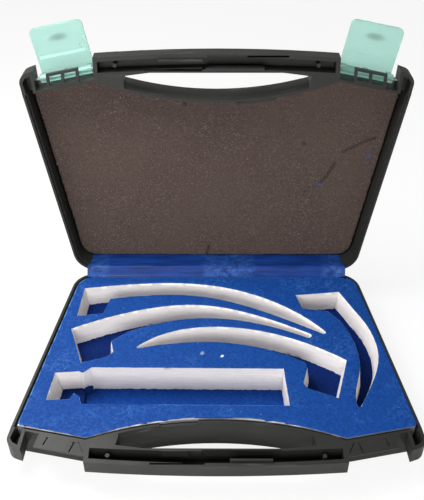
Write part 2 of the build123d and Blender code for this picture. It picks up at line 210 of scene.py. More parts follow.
def flockPileGroup():  # short dense fibres with faint rubbed patches, stray pale lint and worn edges
    pattern = {"fibres": (1700, 3), "clumps": (620, 3), "rub": (55, 5), "fray": (500, 3),  # scale, detail
               "fibreShare": 0.55, "clumpShare": 0.45, "pileRange": (0.36, 0.62), "rubRange": (0.48, 0.7),
               "rubClumps": (0.44, 0.62), "lintScale": 330.0, "lintDot": (0.2, 0.08),
               "lintRare": (0.93, 0.95), "frayRange": (0.3, 0.6, 0.55, 1.0)}
    group, source, result = buildGroup(
        "flockPile",
        [("Deep", "NodeSocketColor", (0, 0, 0, 1)), ("Pile", "NodeSocketColor", (0, 0, 0, 1)),
         ("Tip", "NodeSocketColor", (1, 1, 1, 1)), ("Rub", "NodeSocketFloat", 0.5),
         ("Lint", "NodeSocketFloat", 0.5), ("Edge", "NodeSocketFloat", 0.0)],
        [("Color", "NodeSocketColor"), ("Height", "NodeSocketFloat")])
    coords = addNode(group, "ShaderNodeTexCoord").outputs["Object"]
    fibres = noiseNode(group, coords, *pattern["fibres"])
    clumps = noiseNode(group, coords, *pattern["clumps"])
    rubbed = rampNode(group, noiseNode(group, coords, *pattern["rub"]), *pattern["rubRange"])
    pile = mathNode(group, "ADD", mathNode(group, "MULTIPLY", fibres, pattern["fibreShare"]),
                    mathNode(group, "MULTIPLY", clumps, pattern["clumpShare"]))
    base = mixNode(group, rampNode(group, pile, *pattern["pileRange"]), source.outputs["Deep"],
                   source.outputs["Pile"])
    rub = mathNode(group, "MULTIPLY", mathNode(group, "MULTIPLY", rubbed, source.outputs["Rub"]),
                   rampNode(group, clumps, *pattern["rubClumps"]))
    worn = mixNode(group, rub, base, source.outputs["Tip"])
    cells = addNode(group, "ShaderNodeTexVoronoi", {"Scale": pattern["lintScale"], "Randomness": 1.0})
    group.links.new(coords, cells.inputs["Vector"])
    dots = rampNode(group, cells.outputs["Distance"], *pattern["lintDot"])
    split = addNode(group, "ShaderNodeSeparateColor")
    group.links.new(cells.outputs["Color"], split.inputs[0])
    rare = rampNode(group, split.outputs[0], *pattern["lintRare"])
    lint = mathNode(group, "MULTIPLY", mathNode(group, "MULTIPLY", dots, rare), source.outputs["Lint"])
    frayed = rampNode(group, noiseNode(group, coords, *pattern["fray"]), *pattern["frayRange"])
    edge = mathNode(group, "MULTIPLY", source.outputs["Edge"], frayed)
    pale = mathNode(group, "MAXIMUM", lint, edge)
    group.links.new(mixNode(group, pale, worn, source.outputs["Tip"]), result.inputs["Color"])
    group.links.new(pile, result.inputs["Height"])
    return group


def foamCellsGroup():  # open or closed cells: dark pores, pale struts that catch the light
    pattern = {"poreRange": (0.55, 0.15), "uneven": (60, 3), "unevenRange": (0.35, 0.7, 0.55, 1.0),
               "poreChange": (0.0, 1.0, 0.3, 1.0), "glintRare": (0.72, 0.92), "glintDot": (0.42, 0.2)}
    group, source, result = buildGroup(
        "foamCells",
        [("Body", "NodeSocketColor", (0.5, 0.5, 0.5, 1)), ("Pore", "NodeSocketColor", (0, 0, 0, 1)),
         ("Strut", "NodeSocketColor", (1, 1, 1, 1)), ("Cell Scale", "NodeSocketFloat", 900.0),
         ("Pores", "NodeSocketFloat", 0.5), ("Glints", "NodeSocketFloat", 0.5)],
        [("Color", "NodeSocketColor"), ("Height", "NodeSocketFloat")])
    coords = addNode(group, "ShaderNodeTexCoord").outputs["Object"]
    cells = addNode(group, "ShaderNodeTexVoronoi")
    group.links.new(coords, cells.inputs["Vector"])
    group.links.new(source.outputs["Cell Scale"], cells.inputs["Scale"])
    pore = rampNode(group, cells.outputs["Distance"], *pattern["poreRange"])
    split = addNode(group, "ShaderNodeSeparateColor")
    group.links.new(cells.outputs["Color"], split.inputs[0])
    uneven = rampNode(group, noiseNode(group, coords, *pattern["uneven"]), *pattern["unevenRange"])
    dark = mathNode(group, "MULTIPLY", mathNode(group, "MULTIPLY", pore, source.outputs["Pores"]),
                    rampNode(group, split.outputs[1], *pattern["poreChange"]))
    body = mixNode(group, dark, source.outputs["Body"], source.outputs["Pore"])
    glint = mathNode(group, "MULTIPLY", rampNode(group, split.outputs[0], *pattern["glintRare"]),
                     rampNode(group, cells.outputs["Distance"], *pattern["glintDot"]))
    glint = mathNode(group, "MULTIPLY", mathNode(group, "MULTIPLY", glint, source.outputs["Glints"]), uneven)
    group.links.new(mixNode(group, glint, body, source.outputs["Strut"]), result.inputs["Color"])
    group.links.new(cells.outputs["Distance"], result.inputs["Height"])
    return group


def mouldedSkinGroup():  # fine spark texture, handling scuffs and settled dust on moulded plastic
    pattern = {"grain": (2400, 2), "flow": (30, 4), "scratch": (260, 3, (0.12, 1.0, 1.0)),
               "scratchRange": (0.62, 0.72), "handledRange": (0.42, 0.66), "dustRange": (0.55, 0.75),
               "dust": 0.25, "roughRange": (0.3, 0.7), "scratchRise": -0.3}
    group, source, result = buildGroup(
        "mouldedSkin",
        [("Body", "NodeSocketColor", (0, 0, 0, 1)), ("Scuff Color", "NodeSocketColor", (1, 1, 1, 1)),
         ("Scuffs", "NodeSocketFloat", 0.5), ("Gloss", "NodeSocketFloat", 0.4),
         ("Matt", "NodeSocketFloat", 0.6)],
        [("Color", "NodeSocketColor"), ("Roughness", "NodeSocketFloat"), ("Height", "NodeSocketFloat")])
    coords = addNode(group, "ShaderNodeTexCoord").outputs["Object"]
    grain = noiseNode(group, coords, *pattern["grain"])
    flow = noiseNode(group, coords, *pattern["flow"])
    scratch = rampNode(group, noiseNode(group, coords, *pattern["scratch"]), *pattern["scratchRange"])
    handled = rampNode(group, flow, *pattern["handledRange"])
    scuff = mathNode(group, "MULTIPLY", scratch, handled)
    dust = mathNode(group, "MULTIPLY", rampNode(group, grain, *pattern["dustRange"]), pattern["dust"])
    mask = mathNode(group, "MULTIPLY", mathNode(group, "ADD", scuff, dust), source.outputs["Scuffs"])
    group.links.new(mixNode(group, mask, source.outputs["Body"], source.outputs["Scuff Color"]),
                    result.inputs["Color"])
    spread = mathNode(group, "SUBTRACT", source.outputs["Matt"], source.outputs["Gloss"])
    rough = mathNode(group, "ADD", source.outputs["Gloss"],
                     mathNode(group, "MULTIPLY", spread, rampNode(group, flow, *pattern["roughRange"])))
    group.links.new(rough, result.inputs["Roughness"])
    height = mathNode(group, "ADD", grain, mathNode(group, "MULTIPLY", scratch, pattern["scratchRise"]))
    group.links.new(height, result.inputs["Height"])
    return group


flockPile = flockPileGroup()
foamCells = foamCellsGroup()
mouldedSkin = mouldedSkinGroup()
print("shared effects ready")


# Materials

def shellPlastic():
    look = {"body": (0.018, 0.0186, 0.0168, 1), "scuff": (0.15, 0.148, 0.14, 1), "scuffs": 0.3,
            "gloss": 0.36, "matt": 0.54, "grain": 0.14, "shine": 0.22}
    material, tree, shader = newMaterial("blackShellPlastic")
    skin = placeGroup(tree, mouldedSkin, {"Body": look["body"], "Scuff Color": look["scuff"],
                                          "Scuffs": look["scuffs"], "Gloss": look["gloss"],
                                          "Matt": look["matt"]})
    tree.links.new(skin.outputs["Color"], shader.inputs["Base Color"])
    tree.links.new(skin.outputs["Roughness"], shader.inputs["Roughness"])
    tree.links.new(bumpNode(tree, skin.outputs["Height"], look["grain"]), shader.inputs["Normal"])
    shader.inputs["Specular IOR Level"].default_value = look["shine"]
    return material


def latchPlastic():
    look = {"body": (0.46, 0.74, 0.66, 1), "scuff": (0.82, 0.93, 0.90, 1), "scuffs": 0.4,
            "gloss": 0.25, "matt": 0.42, "grain": 0.08, "clear": 0.82, "index": 1.33,
            "thumbDrop": 22 * mm, "thumbOut": 8 * mm, "thumbReach": (7.0 * mm, 2.8 * mm, 3.0 * mm),
            "thumb": (0.17, 0.27, 0.24, 1), "thumbDark": 0.6, "thumbFade": (1.1, 0.6)}
    material, tree, shader = newMaterial("mintLatchPlastic")
    skin = placeGroup(tree, mouldedSkin, {"Body": look["body"], "Scuff Color": look["scuff"],
                                          "Scuffs": look["scuffs"], "Gloss": look["gloss"],
                                          "Matt": look["matt"]})
    coords = addNode(tree, "ShaderNodeTexCoord").outputs["Object"]
    colour = skin.outputs["Color"]
    outward = lidTurn.to_3x3() @ Vector((0, 0, 1))
    for name in ("latch_left_hinge", "latch_right_hinge"):
        pinLine = Vector(joints[name]["axis"])
        along = pinLine.cross(outward).normalized()
        along *= math.copysign(1, along.z)
        centre = Vector(joints[name]["pos_m"]) + along * look["thumbDrop"] + outward * look["thumbOut"]
        offset = addNode(tree, "ShaderNodeVectorMath", {1: centre}, operation="SUBTRACT")
        tree.links.new(coords, offset.inputs[0])
        gather = addNode(tree, "ShaderNodeCombineXYZ")
        for index, (direction, reach) in enumerate(zip((pinLine, along, outward), look["thumbReach"])):
            part = addNode(tree, "ShaderNodeVectorMath", {1: direction / reach}, operation="DOT_PRODUCT")
            tree.links.new(offset.outputs[0], part.inputs[0])
            tree.links.new(part.outputs["Value"], gather.inputs[index])
        size = addNode(tree, "ShaderNodeVectorMath", operation="LENGTH")
        tree.links.new(gather.outputs[0], size.inputs[0])
        dent = rampNode(tree, size.outputs["Value"], *look["thumbFade"], 0.0, look["thumbDark"])
        colour = mixNode(tree, dent, colour, look["thumb"])
    tree.links.new(colour, shader.inputs["Base Color"])
    tree.links.new(skin.outputs["Roughness"], shader.inputs["Roughness"])
    tree.links.new(bumpNode(tree, skin.outputs["Height"], look["grain"]), shader.inputs["Normal"])
    shader.inputs["Transmission Weight"].default_value = look["clear"]
    shader.inputs["IOR"].default_value = look["index"]
    return material


def pinSteel():
    look = {"bright": (0.62, 0.61, 0.59, 1), "dull": (0.36, 0.35, 0.33, 1), "smooth": 0.24, "rough": 0.45,
            "draw": 0.25, "drawDepth": 0.05 * mm, "lines": (900, 3, (0.05, 1.0, 1.0)), "patches": (120, 3),
            "dullRange": (0.4, 0.7), "roughRange": (0.35, 0.7)}
    material, tree, shader = newMaterial("drawnSteelWire")
    coords = addNode(tree, "ShaderNodeTexCoord").outputs["Object"]
    lines = noiseNode(tree, coords, *look["lines"])
    patches = noiseNode(tree, coords, *look["patches"])
    tree.links.new(mixNode(tree, rampNode(tree, patches, *look["dullRange"]), look["bright"], look["dull"]),
                   shader.inputs["Base Color"])
    tree.links.new(rampNode(tree, patches, *look["roughRange"], look["smooth"], look["rough"]),
                   shader.inputs["Roughness"])
    tree.links.new(bumpNode(tree, lines, look["draw"], look["drawDepth"]), shader.inputs["Normal"])
    shader.inputs["Metallic"].default_value = 1.0
    return material


allFlock = {"edgeRange": (0.55, 1.0), "ripple": (700, 2), "markFade": (1.3, 0.9), "bump": 0.55,
            "depth": 0.25 * mm, "rough": 0.65, "sheenRough": 0.4, "sheenTint": (0.25, 0.5, 1.0, 1)}


def flockedSheet(name, look):
    material, tree, shader = newMaterial(name)
    flock = placeGroup(tree, flockPile, {"Deep": look["deep"], "Pile": look["pile"], "Tip": look["tip"],
                                         "Rub": look["rub"], "Lint": look["lint"]})
    edge = addNode(tree, "ShaderNodeAttribute", attribute_name="edgeWear").outputs["Fac"]
    tree.links.new(mathNode(tree, "MULTIPLY", rampNode(tree, edge, *allFlock["edgeRange"]), look["edge"]),
                   flock.inputs["Edge"])
    colour = flock.outputs["Color"]
    coords = addNode(tree, "ShaderNodeTexCoord").outputs["Object"]
    outer, inner = allFlock["markFade"]
    for x, v, radius, strength in look["marks"]:  # v is how far forward of the hinge line
        offset = addNode(tree, "ShaderNodeVectorMath", {1: (x * mm, hingePoint.y - v * mm, look["level"])},
                         operation="DISTANCE")
        tree.links.new(coords, offset.inputs[0])
        ripple = mathNode(tree, "MULTIPLY", noiseNode(tree, coords, *allFlock["ripple"]), radius * mm)
        spread = mathNode(tree, "ADD", offset.outputs["Value"], ripple)
        spot = rampNode(tree, spread, radius * outer * mm, radius * inner * mm, 0.0, strength)
        colour = mixNode(tree, spot, colour, look["chip"])
    tree.links.new(colour, shader.inputs["Base Color"])
    pileBump = bumpNode(tree, flock.outputs["Height"], allFlock["bump"], allFlock["depth"])
    tree.links.new(pileBump, shader.inputs["Normal"])
    shader.inputs["Roughness"].default_value = allFlock["rough"]
    shader.inputs["Specular IOR Level"].default_value = look["shine"]
    shader.inputs["Sheen Weight"].default_value = look["sheen"]
    shader.inputs["Sheen Roughness"].default_value = allFlock["sheenRough"]
    shader.inputs["Sheen Tint"].default_value = allFlock["sheenTint"]
    return material


def cutWhiteFoam():
    look = {"body": (0.80, 0.77, 0.76, 1), "pore": (0.54, 0.52, 0.52, 1), "strut": (0.93, 0.92, 0.9, 1),
            "flock": (0.004, 0.03, 0.16, 1), "streak": 0.35, "fray": 0.8 * mm,
            "handled": (0.13, 0.13, 0.14, 1), "cellScale": 1700.0, "pores": 0.5, "glints": 0.4,
            "streaks": (300, 3, (0.25, 0.25, 2.2)), "streakRange": (0.35, 0.7), "frayNoise": (420, 4),
            "frayRange": (0.35, 0.72), "handledRange": (0.0, 1.0, 0.9, 1.0), "bump": 0.25,
            "depth": 0.2 * mm, "rough": 0.8, "shine": 0.3}
    material, tree, shader = newMaterial("cutWhiteFoam")
    cells = placeGroup(tree, foamCells, {"Body": look["body"], "Pore": look["pore"], "Strut": look["strut"],
                                         "Cell Scale": look["cellScale"], "Pores": look["pores"],
                                         "Glints": look["glints"]})
    coords = addNode(tree, "ShaderNodeTexCoord").outputs["Object"]
    streaks = rampNode(tree, noiseNode(tree, coords, *look["streaks"]), *look["streakRange"])
    streaked = mixNode(tree, mathNode(tree, "MULTIPLY", streaks, look["streak"]), cells.outputs["Color"],
                       look["pore"])
    above = addNode(tree, "ShaderNodeAttribute", attribute_name="aboveFloor").outputs["Fac"]
    fray = mathNode(tree, "MULTIPLY", rampNode(tree, noiseNode(tree, coords, *look["frayNoise"]),
                                               *look["frayRange"]), look["fray"])
    soiled = mathNode(tree, "LESS_THAN", above, fray)
    # painted shade: along the insert's front outline the foam is mixed toward the dark grey 'handled' colour,
    # standing for the shade on that exposed edge
    front = addNode(tree, "ShaderNodeAttribute", attribute_name="frontEdgeShade").outputs["Fac"]
    frontShadeMask = mathNode(tree, "MULTIPLY", front, rampNode(tree, streaks, *look["handledRange"]))
    whiteCut = mixNode(tree, frontShadeMask, streaked, look["handled"])
    tree.links.new(mixNode(tree, soiled, whiteCut, look["flock"]), shader.inputs["Base Color"])
    cellBump = bumpNode(tree, cells.outputs["Height"], look["bump"], look["depth"])
    tree.links.new(cellBump, shader.inputs["Normal"])
    shader.inputs["Roughness"].default_value = look["rough"]
    shader.inputs["Specular IOR Level"].default_value = look["shine"]
    return material


def brownFoam():
    look = {"body": (0.082, 0.058, 0.051, 1), "pore": (0.008, 0.006, 0.005, 1),
            "strut": (0.34, 0.28, 0.23, 1), "warm": (0.092, 0.067, 0.051, 1),
            "crumb": (0.03, 0.14, 0.45, 1), "cut": (0.014, 0.010, 0.009, 1), "cutShadeStrength": 0.75,
            "cellScale": 1400.0, "pores": 1.0, "glints": 1.0, "patches": (22, 3),
            "patchRange": (0.4, 0.65, 0.0, 0.35), "crumbNoise": (900, 2), "crumbRange": (0.54, 0.6),
            "bump": 0.8, "depth": 0.4 * mm, "rough": 0.95, "shine": 0.2}
    material, tree, shader = newMaterial("brownLidFoam")
    cells = placeGroup(tree, foamCells, {"Body": look["body"], "Pore": look["pore"], "Strut": look["strut"],
                                         "Cell Scale": look["cellScale"], "Pores": look["pores"],
                                         "Glints": look["glints"]})
    coords = addNode(tree, "ShaderNodeTexCoord").outputs["Object"]
    patches = rampNode(tree, noiseNode(tree, coords, *look["patches"]), *look["patchRange"])
    foam = mixNode(tree, patches, cells.outputs["Color"], look["warm"])
    shed = addNode(tree, "ShaderNodeAttribute", attribute_name="blueCrumbs").outputs["Fac"]
    crumbs = mathNode(tree, "MULTIPLY", shed,
                      rampNode(tree, noiseNode(tree, coords, *look["crumbNoise"]), *look["crumbRange"]))
    # painted shade: the cuts and pits pressed into the pad are darkened toward the 'cut' colour for the shade
    # inside them
    cutShadeMask = addNode(tree, "ShaderNodeAttribute", attribute_name="cutShade").outputs["Fac"]
    foam = mixNode(tree, mathNode(tree, "MULTIPLY", cutShadeMask, look["cutShadeStrength"]), foam, look["cut"])
    tree.links.new(mixNode(tree, crumbs, foam, look["crumb"]), shader.inputs["Base Color"])
    cellBump = bumpNode(tree, cells.outputs["Height"], look["bump"], look["depth"])
    tree.links.new(cellBump, shader.inputs["Normal"])
    shader.inputs["Roughness"].default_value = look["rough"]
    shader.inputs["Specular IOR Level"].default_value = look["shine"]
    return material


def coatedCloth():
    look = {"deep": (0.002, 0.021, 0.12, 1), "blue": (0.004, 0.036, 0.21, 1),
            "rubbed": (0.04, 0.13, 0.40, 1), "crinkle": (330, 4, (0.12, 1.0, 1.0)), "fine": (1300, 2),
            "blueRange": (0.35, 0.65), "rub": (240, 4), "rubRange": (0.34, 0.7),
            "fineRange": (0.42, 0.56, 0.25, 0.9), "roughRange": (0.3, 0.7, 0.34, 0.56), "shine": 0.22,
            "fineRise": 0.25, "bump": 0.5, "depth": 0.4 * mm}
    material, tree, shader = newMaterial("coatedBlueCloth")
    coords = addNode(tree, "ShaderNodeTexCoord").outputs["Object"]
    crinkle = noiseNode(tree, coords, *look["crinkle"])
    fine = noiseNode(tree, coords, *look["fine"])
    colour = mixNode(tree, rampNode(tree, crinkle, *look["blueRange"]), look["deep"], look["blue"])
    # painted sheen: at three places along the strip the colour is mixed toward the lighter 'rubbed' blue,
    # standing for the light shining off the crinkled cloth
    sheenMask = addNode(tree, "ShaderNodeAttribute", attribute_name="sheenPatch").outputs["Fac"]
    sheenNoise = noiseNode(tree, coords, *look["rub"])
    rubbed = mathNode(tree, "MULTIPLY", rampNode(tree, sheenNoise, *look["rubRange"]), sheenMask)
    rubbed = mathNode(tree, "MULTIPLY", rubbed, rampNode(tree, fine, *look["fineRange"]))
    tree.links.new(mixNode(tree, rubbed, colour, look["rubbed"]), shader.inputs["Base Color"])
    tree.links.new(rampNode(tree, crinkle, *look["roughRange"]), shader.inputs["Roughness"])
    shader.inputs["Specular IOR Level"].default_value = look["shine"]
    height = mathNode(tree, "ADD", crinkle, mathNode(tree, "MULTIPLY", fine, look["fineRise"]))
    tree.links.new(bumpNode(tree, height, look["bump"], look["depth"]), shader.inputs["Normal"])
    return material


shellBlack = shellPlastic()
latchMint = latchPlastic()
wireSteel = pinSteel()
chipWhite = (0.62, 0.68, 0.78, 1)
topFlock = flockedSheet("blueFlockedSheet", {
    "deep": (0.0015, 0.028, 0.15, 1), "pile": (0.003, 0.055, 0.27, 1), "tip": (0.15, 0.34, 0.7, 1),
    "rub": 0.1, "lint": 0.35, "edge": 0.7, "sheen": 0.06, "shine": 0.14, "level": 25 * mm, "chip": chipWhite,
    "marks": ((3.9, 78.9, 1.5, 0.9), (-9.1, 76.4, 2.2, 0.3))})
handleFlock = flockedSheet("handleFloorFlock", {
    "deep": (0.003, 0.026, 0.16, 1), "pile": (0.006, 0.052, 0.28, 1), "tip": (0.05, 0.16, 0.45, 1),
    "rub": 0.1, "lint": 0.3, "edge": 0.0, "sheen": 0.0, "shine": 0.05, "level": 2.4 * mm,
    "chip": chipWhite, "marks": ()})
# painted shade: the same blue flock sheet as the handle floor, coloured about half as bright to stand for the
# shade in the narrow blade pockets; the handle head sheet uses it too
shadedBladeFlock = flockedSheet("shadedBladeFloorFlock", {
    "deep": (0.001, 0.008, 0.06, 1), "pile": (0.002, 0.017, 0.115, 1), "tip": (0.03, 0.1, 0.34, 1),
    "rub": 0.08, "lint": 0.25, "edge": 0.0, "sheen": 0.0, "shine": 0.05, "level": 9.5 * mm,
    "chip": chipWhite, "marks": ((72.4, 100.0, 1.0, 0.7),)})
whiteFoam = cutWhiteFoam()
lidBrown = brownFoam()
clothBlue = coatedCloth()
print("materials ready")


# Shells, latches and pins keep their CAD shapes

def dressCadNodes():
    finishes = {"base_shell": shellBlack, "lid_shell": shellBlack, "latch_left": latchMint,
                "latch_right": latchMint, "hinge_pin_left": wireSteel, "hinge_pin_right": wireSteel,
                "latch_pin_left": wireSteel, "latch_pin_right": wireSteel}
    for node, material in finishes.items():
        mesh = frame["nodes"][node].data
        mesh.materials.clear()
        mesh.materials.append(material)


# Foam insert and its blue sheets

insert = {"slice": 2.0 * mm, "frontY": -45 * mm, "edgeSlope": 0.181, "rimInset": 3.6 * mm,
          "lookAhead": 4, "facing": 0.3, "skin": 0.1 * mm, "raggedRise": 0.4}  # lookAhead in millimetres
bareFoam = [(-118, 0.5), (-92, 0.4), (-84, 0.0), (-64, 0.2), (-56, 0.5), (-36, 0.7), (-9, 1.1),
            (10, 1.2), (28, 1.0), (46, 0.5), (60, 0.0), (120, 0.0)]  # x, and how much foam shows in front, mm
handleArea = {"low": (-107 * mm, -41 * mm), "high": (47 * mm, -7 * mm), "headX": -86 * mm,
              "stepX": -82.5 * mm, "stepTop": 7.4 * mm}
sheetLow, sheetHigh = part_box("top_lining")
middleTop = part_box("blade_floor_lining")[1].z
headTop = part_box("handle_head_lining")[1].z
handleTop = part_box("handle_floor_lining")[1].z
insertTop = sheetHigh.z
rimX, rimY = 98.9 * mm, hingePoint.y  # half width of the case at the hinge line


def inHandleArea(co):
    low, high = handleArea["low"], handleArea["high"]
    return low[0] < co.x < high[0] and low[1] < co.y < high[1]


def floorHeight(co):  # top of the blue sheet at the bottom of the pocket beside this place
    if not inHandleArea(co):
        return middleTop
    return headTop if co.x < handleArea["headX"] else handleTop


def onOuterOutline(co, side):  # outline of the insert, not of a pocket
    reach = co + side * insert["lookAhead"] * mm
    halfWidth = rimX + insert["edgeSlope"] * (rimY - reach.y) - insert["rimInset"]
    front = side.y < -insert["facing"] and co.y < insert["frontY"]
    back = side.y > insert["facing"] and reach.y > sheetHigh.y
    return abs(reach.x) > halfWidth or front or back


def bareWidth(x):
    for (first, width), (second, nextWidth) in zip(bareFoam, bareFoam[1:]):
        if first * mm <= x <= second * mm:
            share = (x / mm - first) / (second - first)
            return (width + (nextWidth - width) * share) * mm
    return 0.0


def raggedNoise(co, scale, seed):
    return noise.noise(Vector((co.x * scale + seed, co.y * scale, co.z * scale * insert["raggedRise"])))


def topLiningSheet():
    look = {"wave": 0.14 * mm, "waveScale": 45, "ragged": 0.2 * mm,
            "cuts": ((420, 3.1, 0.6), (1300, 8.2, 0.5)), "bareChange": (140, 5.5, 0.35),  # scale, seed, share
            "wearBack": 0.78, "wear": 0.68, "wearFront": 0.7, "wearRight": 0.6, "wearLeft": 1.0,
            "cornerX": -114 * mm, "cornerIn": 1.2 * mm, "sideways": 0.5, "rightReach": 1.5 * mm,
            "leftReach": 0.2 * mm, "edgeDroop": 0.12 * mm}
    bm = weldedCopy("top_lining")
    area = topArea(bm)
    sliceAcross(bm, (1, 0, 0), insert["slice"])
    sliceAcross(bm, (0, 1, 0), insert["slice"])
    wear = bm.verts.layers.float.new("edgeWear")
    moves = {}
    for vert in bm.verts:
        side = sideDirection(vert)
        move = Vector((0, 0, noise.noise(vert.co * look["waveScale"]) * look["wave"]))
        if side:
            outer = onOuterOutline(vert.co, side)
            cut = sum(raggedNoise(vert.co, scale, seed) * share for scale, seed, share in look["cuts"])
            move += side * cut * look["ragged"]
            vert[wear] = look["wearBack"] if side.y > insert["facing"] else look["wear"]
            if outer and side.y < -insert["facing"]:
                scale, seed, share = look["bareChange"]
                move -= side * bareWidth(vert.co.x) * (1 + share * raggedNoise(vert.co, scale, seed))
                vert[wear] = look["wearFront"]
                if vert.co.x < look["cornerX"]:
                    move.x += look["cornerIn"]
            elif outer and side.x > look["sideways"]:
                move += side * look["rightReach"]
                vert[wear] = look["wearRight"]
            elif outer and side.x < -look["sideways"]:
                move += side * look["leftReach"]
                vert[wear] = look["wearLeft"]
            if vert.co.z > insertTop - insert["skin"]:
                move.z -= look["edgeDroop"]
        moves[vert] = move
    applyMoves(moves)
    piece = makePiece(bm, "topLiningSheet", topFlock)
    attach(piece, "base")
    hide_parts("top_lining")


def wallNoise(co, scale, seed):
    across, up = scale
    return noise.noise(Vector((co.x * across, co.y * across, co.z * up + seed)))


def foamLayer(node, name, seed):
    look = {"sliceUp": 2.5 * mm, "coarser": 1.5, "frontReach": 0.25 * mm, "wave": 0.22 * mm,
            "waveScale": (110, 160), "fineScale": (500, 300), "fineShare": 0.4, "bladeLean": 0.125,
            "headLean": 0.16, "sideways": 0.5}
    bm = weldedCopy(node)
    sliceAcross(bm, (0, 0, 1), look["sliceUp"])
    sliceAcross(bm, (1, 0, 0), insert["slice"] * look["coarser"])
    sliceAcross(bm, (0, 1, 0), insert["slice"] * look["coarser"])
    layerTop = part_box(node)[1].z
    moves = {}
    for vert in bm.verts:
        side = sideDirection(vert)
        move = Vector((0, 0, 0))
        if side and onOuterOutline(vert.co, side):
            if side.y < -insert["facing"]:
                move = side * look["frontReach"]
        elif side:
            wave = wallNoise(vert.co, look["waveScale"], seed)
            fine = wallNoise(vert.co, look["fineScale"], seed)
            move = side * (wave + look["fineShare"] * fine) * look["wave"]
            depth = insertTop - vert.co.z
            if not inHandleArea(vert.co):
                move += side * look["bladeLean"] * depth
            elif vert.co.x < handleArea["headX"] and side.x > look["sideways"]:
                move.x += look["headLean"] * depth
            if node == "foam_lower_layer" and vert.co.z > layerTop - insert["skin"]:
                move.z = middleTop - layerTop  # meets the upper layer round the handle well
        moves[vert] = move
    applyMoves(moves)
    height = bm.verts.layers.float.new("aboveFloor")
    # painted shade: foam on the front of the outer outline gets a mark that the material turns into a dark
    # grey band for the shade on that edge
    handled = bm.verts.layers.float.new("frontEdgeShade")
    for vert in bm.verts:
        side = sideDirection(vert)
        atFront = side and side.y < -insert["facing"] and onOuterOutline(vert.co, side)
        vert[handled] = 1.0 if atFront else 0.0
        atStep = handleArea["headX"] < vert.co.x < handleArea["stepX"] and vert.co.z < handleArea["stepTop"]
        vert[height] = -1.0 if atStep and inHandleArea(vert.co) else vert.co.z - floorHeight(vert.co)
    piece = makePiece(bm, name, whiteFoam)
    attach(piece, "base")
    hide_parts(node)


def floorSheet(node, name, material):
    look = {"coarser": 2, "wave": 0.12 * mm, "waveScale": 60, "tuckUnder": 1.2 * mm}
    bm = weldedCopy(node)
    area = topArea(bm)
    sliceAcross(bm, (1, 0, 0), insert["slice"] * look["coarser"])
    sliceAcross(bm, (0, 1, 0), insert["slice"] * look["coarser"])
    moves = {}
    for vert in bm.verts:
        side = sideDirection(vert)
        move = Vector((0, 0, noise.noise(vert.co * look["waveScale"]) * look["wave"]))
        if side and node == "blade_floor_lining" and inHandleArea(vert.co):
            move -= side * look["tuckUnder"]
        moves[vert] = move
    applyMoves(moves)
    piece = makePiece(bm, name, material)
    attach(piece, "base")
    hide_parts(node)


# Lid pad

def twoWaves(co, waves):
    broad, fine, share = waves
    return noise.noise(co * broad) + share * noise.noise(co * fine)


def lidPad():  # places on the pad are x and how far forward of the hinge line, with the lid shut
    look = {"slice": 1.25 * mm, "thickSlice": 2.5 * mm, "swell": 0.3 * mm, "sideWaves": (90, 420, 0.5),
            "faceWaves": (25, 160, 0.3), "skin": 0.1 * mm, "edgeRound": 0.6 * mm, "roundUp": 0.5,
            "roundIn": 0.4,
            "cuts": (((71.0, 62.5), (76.5, 70.0), (81.5, 79.8)), ((86.3, 88.1), (96.5, 94.0), (107.7, 98.5)),
                     ((-6.6, 6.0), (-6.0, 9.5), (-5.1, 12.8))),
            "cutDepth": 0.9 * mm, "cutWidth": 0.8 * mm, "pits": ((59.5, 94.1), (-20.6, 122.8)),
            "pitDepth": 1.1 * mm, "pitWidth": 1.3 * mm,
            "crumbLine": ((102.0, 81.3), (104.6, 89.6)), "crumbSpot": ((71.0, 62.5), (72.0, 64.0)),
            "crumbWidth": 1.5 * mm}
    bm = weldedCopy("lid_foam", lidTurn.inverted())
    sliceAcross(bm, (1, 0, 0), look["slice"])
    sliceAcross(bm, (0, 1, 0), look["slice"])
    sliceAcross(bm, (0, 0, 1), look["thickSlice"])
    face = min(vert.co.z for vert in bm.verts)

    def onFace(points):
        return [Vector((x * mm, hingePoint.y - v * mm, face)) for x, v in points]

    def lineGap(co, line):  # distance from a run of points
        gaps = []
        for first, second in zip(line, line[1:]):
            along = second - first
            share = min(1, max(0, (co - first).dot(along) / along.length_squared))
            gaps.append((co - first - along * share).length)
        return min(gaps)

    cuts = [onFace(points) for points in look["cuts"]]
    pits = onFace(look["pits"])
    crumbs = [onFace(look["crumbLine"]), onFace(look["crumbSpot"])]
    blue = bm.verts.layers.float.new("blueCrumbs")
    shade = bm.verts.layers.float.new("cutShade")
    moves = {}
    for vert in bm.verts:
        side = sideDirection(vert)
        atFace = vert.co.z < face + look["skin"]
        move = Vector((0, 0, 0))
        if side:
            move += side * twoWaves(vert.co, look["sideWaves"]) * look["swell"]
            if atFace:
                rise = Vector((0, 0, look["edgeRound"] * look["roundUp"]))
                move += rise - side * look["edgeRound"] * look["roundIn"]
        elif atFace:
            move.z -= twoWaves(vert.co, look["faceWaves"]) * look["swell"]
        if atFace:
            dents = [(lineGap(vert.co, cut) / look["cutWidth"], look["cutDepth"]) for cut in cuts]
            dents += [((vert.co - pit).length / look["pitWidth"], look["pitDepth"]) for pit in pits]
            # each cut and pit dents the face and also marks cutShade, the painted shade that the material
            # darkens
            for gap, depth in dents:
                share = math.exp(-gap * gap)
                move.z += depth * share
                vert[shade] = max(vert[shade], share)
            near = min(lineGap(vert.co, crumb) for crumb in crumbs)
            vert[blue] = max(0.0, 1 - near / look["crumbWidth"])
        moves[vert] = move
    applyMoves(moves)
    bm.transform(lidTurn)
    piece = makePiece(bm, "lidFoamPad", lidBrown)
    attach(piece, "lid")
    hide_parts("lid_foam")


# Cloth strip over the hinge

